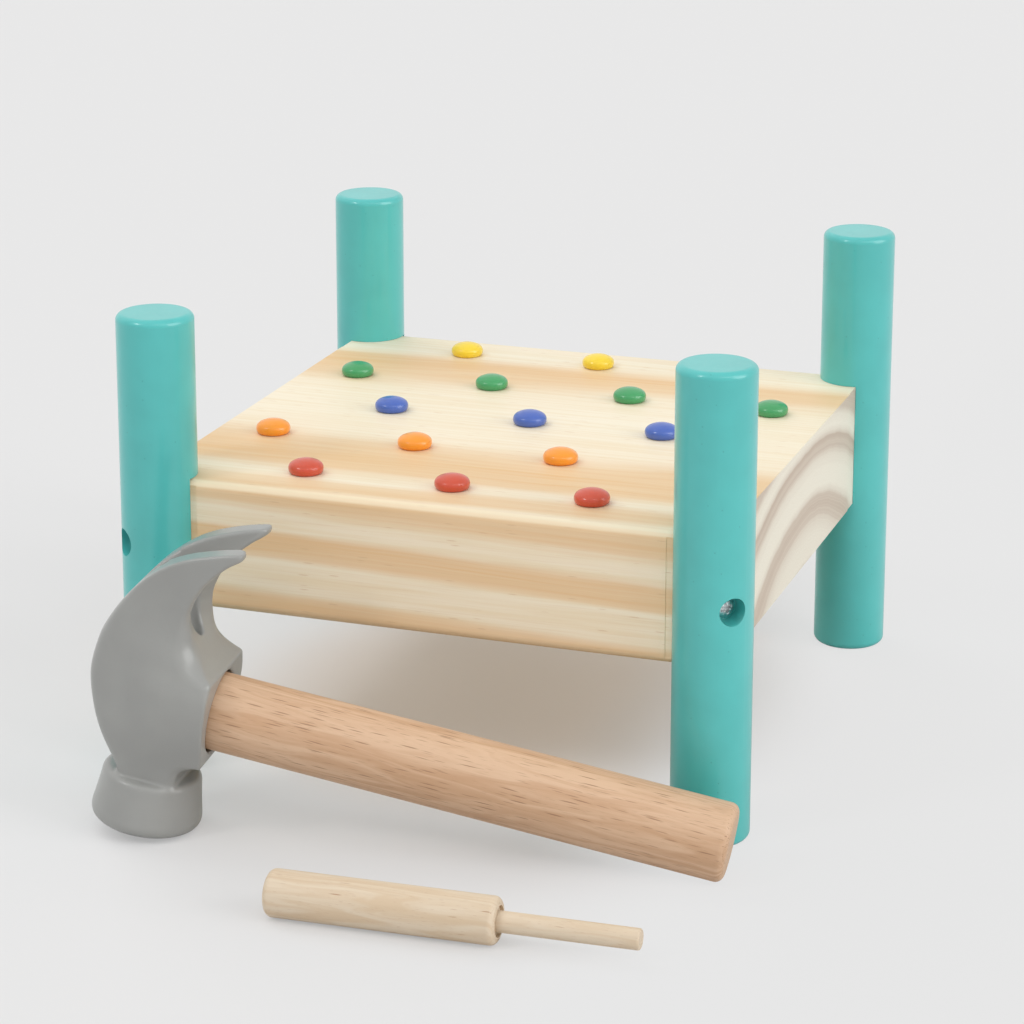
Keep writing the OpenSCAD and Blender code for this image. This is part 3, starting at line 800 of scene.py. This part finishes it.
def build_floor():
    """A wide floor a hair below the feet, so that the two don't flicker."""
    half, drop = 9.0, 0.0001
    mesh = bpy.data.meshes.new("floor")
    corners = [(-half, -half, 0), (half, -half, 0), (half, half, 0), (-half, half, 0)]
    mesh.from_pydata(corners, [], [(0, 1, 2, 3)])
    mesh.materials.append(floor_paper())
    floor = bpy.data.objects.new("floor", mesh)
    floor.location = (0, 0, -drop)
    bpy.context.scene.collection.objects.link(floor)


def build_surroundings():
    """A pale background for the camera and for gloss, and an even fill for everything else."""
    world = bpy.data.worlds.new("studio")
    world.use_nodes = True
    tree = world.node_tree
    tree.nodes.clear()
    path = tree.nodes.new("ShaderNodeLightPath")
    seen = tree.nodes.new("ShaderNodeMath")
    seen.operation = "MAXIMUM"
    pale = tree.nodes.new("ShaderNodeBackground")
    pale.inputs["Color"].default_value = (*PAPER_TONE, 1)
    fill = tree.nodes.new("ShaderNodeBackground")
    fill.inputs["Color"].default_value = (1, 1, 1, 1)
    fill.inputs["Strength"].default_value = FILL_LEVEL
    pick = tree.nodes.new("ShaderNodeMixShader")
    out = tree.nodes.new("ShaderNodeOutputWorld")
    for source, target in ((path.outputs["Is Camera Ray"], seen.inputs[0]),
                           (path.outputs["Is Glossy Ray"], seen.inputs[1]),
                           (seen.outputs[0], pick.inputs[0]),
                           (fill.outputs[0], pick.inputs[1]),
                           (pale.outputs[0], pick.inputs[2]),
                           (pick.outputs[0], out.inputs[0])):
        tree.links.new(source, target)
    bpy.context.scene.world = world


def build_lamps():
    for name, (towards, level, width, in_gloss) in LAMPS.items():
        light = bpy.data.lights.new(name, "SUN")
        light.energy = math.pi * level
        light.angle = math.radians(width)
        lamp = bpy.data.objects.new(name, light)
        lamp.rotation_euler = Vector(towards).to_track_quat("Z", "Y").to_euler()
        lamp.visible_glossy = in_gloss
        bpy.context.scene.collection.objects.link(lamp)


def build_camera():
    """The photograph's camera, looking down by its pitch and turned by its yaw from the Y axis."""
    flat = math.cos(CAMERA_PITCH)
    ahead = Vector((math.sin(CAMERA_YAW) * flat, math.cos(CAMERA_YAW) * flat, -math.sin(CAMERA_PITCH)))
    right = Vector((math.cos(CAMERA_YAW), -math.sin(CAMERA_YAW), 0.0))
    up = right.cross(ahead)
    side = right * math.cos(CAMERA_ROLL) + up * math.sin(CAMERA_ROLL)
    top = up * math.cos(CAMERA_ROLL) - right * math.sin(CAMERA_ROLL)
    turn = Matrix((side, top, -ahead)).transposed().to_4x4()
    data = bpy.data.cameras.new("camera")
    data.sensor_width = SENSOR_MM
    data.lens = FOCAL_PX / PHOTO_PX * SENSOR_MM
    data.shift_y = -AXIS_RISE_PX / PHOTO_PX
    data.clip_end = 30.0
    camera = bpy.data.objects.new("camera", data)
    camera.matrix_world = Matrix.Translation(BENCH + CAMERA_AT * MM) @ turn
    bpy.context.scene.collection.objects.link(camera)
    bpy.context.scene.camera = camera


bpy.context.scene.view_settings.view_transform = "Standard"
build_camera()
build_floor()
build_surroundings()
build_lamps()

PINE = pine()
TEAL = paint("teal_paint", (0.084, 0.523, 0.502), rough=0.34, coat=0.5, coat_rough=0.12)
GREY = grey_plastic()
ZINC = zinc()
PEG_COLORS = {"yellow": (0.95, 0.68, 0.025), "green": (0.045, 0.33, 0.11), "blue": (0.055, 0.125, 0.48),
              "orange": (0.95, 0.32, 0.01), "red": (0.64, 0.07, 0.026)}
PEGS = {color: paint(color + "_paint", base, rough=0.38, coat=0.6, coat_rough=0.10, pits=0.1, grain=0.2)
        for color, base in PEG_COLORS.items()}
BEECH = turned_wood("beech", HAMMER, pale=(0.715, 0.487, 0.322), deep=(0.60, 0.37, 0.223),
                    fleck=(0.31, 0.155, 0.085), density=0.65, fleck_l=15.0, fleck_w=1.0)
MAPLE = turned_wood("maple", PUNCH, pale=(0.745, 0.622, 0.473), deep=(0.68, 0.526, 0.362),
                    fleck=(0.43, 0.23, 0.125), density=0.06, fleck_l=10.0, fleck_w=1.1)

dress(NODES["board"], PINE)
for node_name, node in NODES.items():
    if node_name.startswith("post_") and node_name != "post_screws":
        dress(node, TEAL)
    if node_name.startswith("peg_"):
        build_peg(node_name)
dress(NODES["hammer_handle"], BEECH)
dress(NODES["punch_grip"], MAPLE)
dress(NODES["punch_pin"], MAPLE)

build_head()
build_screws()
